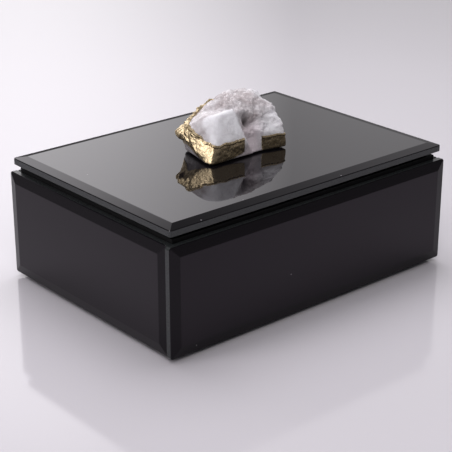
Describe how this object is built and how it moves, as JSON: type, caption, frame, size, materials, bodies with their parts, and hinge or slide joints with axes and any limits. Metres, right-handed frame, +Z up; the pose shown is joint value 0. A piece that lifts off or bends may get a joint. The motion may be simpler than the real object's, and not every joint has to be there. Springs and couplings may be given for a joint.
{
  "type": "hinged trinket box",
  "caption": "Rectangular black bevelled-glass trinket box with a velvet-lined well, a back-hinged glass lid and a gilt-edged quartz stone glued on top as its knob.",
  "frame": {"origin": "under the centre of the box, on the plane its feet stand on", "axes": "+X along the box's length, to the right as seen from the front; -Y towards the front; +Z up"},
  "size_m": [0.206, 0.149, 0.1052],
  "materials": {
    "black_glass": "mirror-polished, opaque black, bevelled edges",
    "black_board": "board wrapped in matt black paper",
    "velvet": "black velvet",
    "base_felt": "black felt",
    "foot_rubber": "satin",
    "hinge_brass": "polished brass",
    "quartz": "rough quartz with glassy breaks",
    "gilt": "gold electroplate over rough stone",
    "clear_glue": "clear set adhesive"
  },
  "bodies": {
    "box": {"front_glass_pane": "black_glass", "back_glass_pane": "black_glass", "left_glass_pane": "black_glass", "right_glass_pane": "black_glass", "front_board": "black_board", "back_board": "black_board", "left_board": "black_board", "right_board": "black_board", "base_board": "black_board", "front_lining": "velvet", "back_lining": "velvet", "left_lining": "velvet", "right_lining": "velvet", "floor_pad": "velvet", "base_felt": "base_felt", "bumper_feet": "foot_rubber", "left_hinge_body_leaf": "hinge_brass", "left_hinge_pin": "hinge_brass", "right_hinge_body_leaf": "hinge_brass", "right_hinge_pin": "hinge_brass", "hinge_screws": "hinge_brass"},
    "lid": {"lid_glass": "black_glass", "lid_board": "black_board", "lid_lining": "velvet", "left_hinge_lid_leaf": "hinge_brass", "right_hinge_lid_leaf": "hinge_brass", "hinge_rivets": "hinge_brass", "quartz_stone": "quartz", "gilt_edge": "gilt", "stone_glue": "clear_glue"}
  },
  "joints": [
    {"name": "lid_hinge", "type": "hinge", "parent": "box", "child": "lid", "pos_m": [0, 0.0726, 0.0676], "axis": [-1, 0, 0], "range_deg": [0, 95]}
  ]
}
